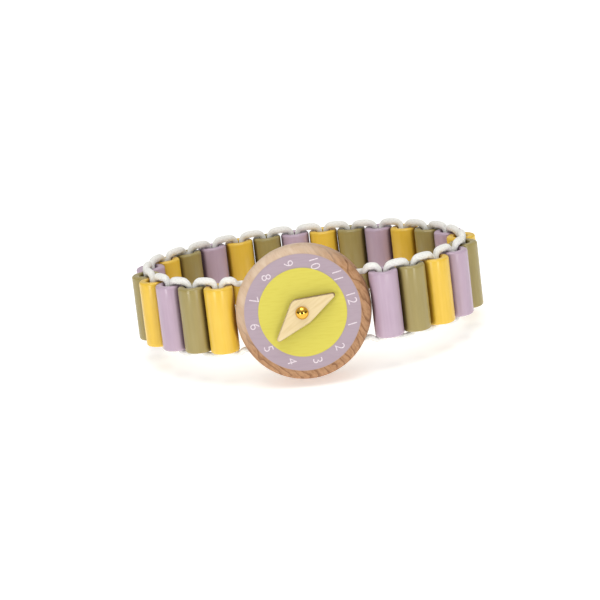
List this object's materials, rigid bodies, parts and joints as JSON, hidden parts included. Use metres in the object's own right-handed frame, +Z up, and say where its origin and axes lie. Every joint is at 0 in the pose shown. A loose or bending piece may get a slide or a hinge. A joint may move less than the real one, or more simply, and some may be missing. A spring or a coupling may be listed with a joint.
{
  "type": "toy watch",
  "caption": "Toy wrist watch with a round wooden case, painted dial and a loose turning hand, on an elastic strap of painted wooden tube beads.",
  "frame": {"origin": "on the surface that the watch stands on, under the middle of its box", "axes": "+X along the strap's width as it stands, from the dial's left to its right as seen by someone facing it; +Y from the dial to the strap's back; +Z up"},
  "size_m": [0.0736, 0.053, 0.0282],
  "materials": {
    "beech": "sanded bare beech",
    "lilac_dial_paint": "matt printed paint on beech",
    "lime_dial_paint": "matt printed paint on beech",
    "ply": "laser-cut birch ply, matt",
    "brass": "polished domed pin",
    "white_elastic": "woven cover over a rubber core",
    "yellow_bead_paint": "matt painted beech",
    "olive_bead_paint": "matt painted beech",
    "lilac_bead_paint": "matt painted beech"
  },
  "bodies": {
    "case": {"case": "beech", "dial_paint": "lilac_dial_paint", "centre_paint": "lime_dial_paint", "pin": "brass", "elastic_case": "white_elastic", "elastic_knots": "white_elastic"},
    "hand": {"hand": "ply"},
    "link_01": {"bead_01": "yellow_bead_paint", "elastic_01": "white_elastic"},
    "link_02": {"bead_02": "olive_bead_paint", "elastic_02": "white_elastic"},
    "link_03": {"bead_03": "lilac_bead_paint", "elastic_03": "white_elastic"},
    "link_04": {"bead_04": "yellow_bead_paint", "elastic_04": "white_elastic"},
    "link_05": {"bead_05": "olive_bead_paint", "elastic_05": "white_elastic"},
    "link_06": {"bead_06": "lilac_bead_paint", "elastic_06": "white_elastic"},
    "link_07": {"bead_07": "yellow_bead_paint", "elastic_07": "white_elastic"},
    "link_08": {"bead_08": "olive_bead_paint", "elastic_08": "white_elastic"},
    "link_09": {"bead_09": "lilac_bead_paint", "elastic_09": "white_elastic"},
    "link_10": {"bead_10": "yellow_bead_paint", "elastic_10": "white_elastic"},
    "link_11": {"bead_11": "olive_bead_paint", "elastic_11": "white_elastic"},
    "link_12": {"bead_12": "lilac_bead_paint", "elastic_12": "white_elastic"},
    "link_24": {"bead_24": "lilac_bead_paint", "elastic_23": "white_elastic"},
    "link_23": {"bead_23": "olive_bead_paint", "elastic_22": "white_elastic"},
    "link_22": {"bead_22": "yellow_bead_paint", "elastic_21": "white_elastic"},
    "link_21": {"bead_21": "lilac_bead_paint", "elastic_20": "white_elastic"},
    "link_20": {"bead_20": "olive_bead_paint", "elastic_19": "white_elastic"},
    "link_19": {"bead_19": "yellow_bead_paint", "elastic_18": "white_elastic"},
    "link_18": {"bead_18": "lilac_bead_paint", "elastic_17": "white_elastic"},
    "link_17": {"bead_17": "olive_bead_paint", "elastic_16": "white_elastic"},
    "link_16": {"bead_16": "yellow_bead_paint", "elastic_15": "white_elastic"},
    "link_15": {"bead_15": "lilac_bead_paint", "elastic_14": "white_elastic"},
    "link_14": {"bead_14": "olive_bead_paint", "elastic_13": "white_elastic", "bead_13": "yellow_bead_paint"}
  },
  "joints": [
    {"name": "hand_turn", "type": "hinge", "parent": "case", "child": "hand", "pos_m": [0, -0.02452, 0.01594], "axis": [0, -0.9518, 0.3068], "continuous": true},
    {"name": "bead_01_turn", "type": "hinge", "parent": "case", "child": "link_01", "pos_m": [-0.0172, -0.01881, 0.0141], "axis": [0, 0.1369, 0.9906], "range_deg": [-15.32, 5.11]},
    {"name": "bead_02_turn", "type": "hinge", "parent": "link_01", "child": "link_02", "pos_m": [-0.02282, -0.0161, 0.01373], "axis": [0, 0.1369, 0.9906], "range_deg": [-1.4, 0.48]},
    {"name": "bead_03_turn", "type": "hinge", "parent": "link_02", "child": "link_03", "pos_m": [-0.02783, -0.01239, 0.01321], "axis": [0, 0.1369, 0.9906], "range_deg": [-0.58, 1.71]},
    {"name": "bead_04_turn", "type": "hinge", "parent": "link_03", "child": "link_04", "pos_m": [-0.03174, -0.00757, 0.01255], "axis": [0, 0.1369, 0.9906], "range_deg": [-2.05, 6.11]},
    {"name": "bead_05_turn", "type": "hinge", "parent": "link_04", "child": "link_05", "pos_m": [-0.03384, -0.00174, 0.01174], "axis": [0, 0.1369, 0.9906], "range_deg": [-3.27, 9.78]},
    {"name": "bead_06_turn", "type": "hinge", "parent": "link_05", "child": "link_06", "pos_m": [-0.03344, 0.00444, 0.01089], "axis": [0, 0.1369, 0.9906], "range_deg": [-3.01, 8.98]},
    {"name": "bead_07_turn", "type": "hinge", "parent": "link_06", "child": "link_07", "pos_m": [-0.03069, 0.01, 0.01012], "axis": [0, 0.1369, 0.9906], "range_deg": [-1.57, 4.66]},
    {"name": "bead_08_turn", "type": "hinge", "parent": "link_07", "child": "link_08", "pos_m": [-0.02636, 0.01447, 0.0095], "axis": [0, 0.1369, 0.9906], "range_deg": [-0.215, 0.606]},
    {"name": "bead_09_turn", "type": "hinge", "parent": "link_08", "child": "link_09", "pos_m": [-0.02113, 0.01786, 0.00903], "axis": [0, 0.1369, 0.9906], "range_deg": [-2.08, 0.71]},
    {"name": "bead_10_turn", "type": "hinge", "parent": "link_09", "child": "link_10", "pos_m": [-0.01538, 0.02028, 0.0087], "axis": [0, 0.1369, 0.9906], "range_deg": [-3.64, 1.23]},
    {"name": "bead_11_turn", "type": "hinge", "parent": "link_10", "child": "link_11", "pos_m": [-0.00933, 0.02183, 0.00848], "axis": [0, 0.1369, 0.9906], "range_deg": [-4.5, 1.51]},
    {"name": "bead_12_turn", "type": "hinge", "parent": "link_11", "child": "link_12", "pos_m": [-0.00313, 0.02259, 0.00838], "axis": [0, 0.1369, 0.9906], "range_deg": [-4.89, 1.64]},
    {"name": "bead_24_turn", "type": "hinge", "parent": "case", "child": "link_24", "pos_m": [0.0172, -0.01881, 0.0141], "axis": [0, 0.1369, 0.9906], "range_deg": [-5.13, 15.34]},
    {"name": "bead_23_turn", "type": "hinge", "parent": "link_24", "child": "link_23", "pos_m": [0.02282, -0.0161, 0.01373], "axis": [0, 0.1369, 0.9906], "range_deg": [-0.48, 1.4]},
    {"name": "bead_22_turn", "type": "hinge", "parent": "link_23", "child": "link_22", "pos_m": [0.02783, -0.01239, 0.01321], "axis": [0, 0.1369, 0.9906], "range_deg": [-1.71, 0.58]},
    {"name": "bead_21_turn", "type": "hinge", "parent": "link_22", "child": "link_21", "pos_m": [0.03174, -0.00757, 0.01255], "axis": [0, 0.1369, 0.9906], "range_deg": [-6.11, 2.05]},
    {"name": "bead_20_turn", "type": "hinge", "parent": "link_21", "child": "link_20", "pos_m": [0.03384, -0.00174, 0.01174], "axis": [0, 0.1369, 0.9906], "range_deg": [-9.78, 3.27]},
    {"name": "bead_19_turn", "type": "hinge", "parent": "link_20", "child": "link_19", "pos_m": [0.03344, 0.00444, 0.01089], "axis": [0, 0.1369, 0.9906], "range_deg": [-8.98, 3.01]},
    {"name": "bead_18_turn", "type": "hinge", "parent": "link_19", "child": "link_18", "pos_m": [0.03069, 0.01, 0.01012], "axis": [0, 0.1369, 0.9906], "range_deg": [-4.66, 1.57]},
    {"name": "bead_17_turn", "type": "hinge", "parent": "link_18", "child": "link_17", "pos_m": [0.02636, 0.01447, 0.0095], "axis": [0, 0.1369, 0.9906], "range_deg": [-0.606, 0.215]},
    {"name": "bead_16_turn", "type": "hinge", "parent": "link_17", "child": "link_16", "pos_m": [0.02113, 0.01786, 0.00903], "axis": [0, 0.1369, 0.9906], "range_deg": [-0.71, 2.08]},
    {"name": "bead_15_turn", "type": "hinge", "parent": "link_16", "child": "link_15", "pos_m": [0.01538, 0.02028, 0.0087], "axis": [0, 0.1369, 0.9906], "range_deg": [-1.23, 3.64]},
    {"name": "bead_14_turn", "type": "hinge", "parent": "link_15", "child": "link_14", "pos_m": [0.00933, 0.02183, 0.00848], "axis": [0, 0.1369, 0.9906], "range_deg": [-1.51, 4.5]}
  ],
  "couplings": [
    {"joint": "bead_02_turn", "follows": "bead_01_turn", "ratio": 0.090006},
    {"joint": "bead_03_turn", "follows": "bead_01_turn", "ratio": -0.11055},
    {"joint": "bead_04_turn", "follows": "bead_01_turn", "ratio": -0.39742},
    {"joint": "bead_05_turn", "follows": "bead_01_turn", "ratio": -0.63733},
    {"joint": "bead_06_turn", "follows": "bead_01_turn", "ratio": -0.58479},
    {"joint": "bead_07_turn", "follows": "bead_01_turn", "ratio": -0.30292},
    {"joint": "bead_08_turn", "follows": "bead_01_turn", "ratio": -0.038244},
    {"joint": "bead_09_turn", "follows": "bead_01_turn", "ratio": 0.13452},
    {"joint": "bead_10_turn", "follows": "bead_01_turn", "ratio": 0.23641},
    {"joint": "bead_11_turn", "follows": "bead_01_turn", "ratio": 0.29264},
    {"joint": "bead_12_turn", "follows": "bead_01_turn", "ratio": 0.31768},
    {"joint": "bead_24_turn", "follows": "bead_01_turn", "ratio": -1},
    {"joint": "bead_23_turn", "follows": "bead_01_turn", "ratio": -0.090006},
    {"joint": "bead_22_turn", "follows": "bead_01_turn", "ratio": 0.11055},
    {"joint": "bead_21_turn", "follows": "bead_01_turn", "ratio": 0.39742},
    {"joint": "bead_20_turn", "follows": "bead_01_turn", "ratio": 0.63733},
    {"joint": "bead_19_turn", "follows": "bead_01_turn", "ratio": 0.58479},
    {"joint": "bead_18_turn", "follows": "bead_01_turn", "ratio": 0.30292},
    {"joint": "bead_17_turn", "follows": "bead_01_turn", "ratio": 0.038244},
    {"joint": "bead_16_turn", "follows": "bead_01_turn", "ratio": -0.13452},
    {"joint": "bead_15_turn", "follows": "bead_01_turn", "ratio": -0.23641},
    {"joint": "bead_14_turn", "follows": "bead_01_turn", "ratio": -0.29264}
  ]
}
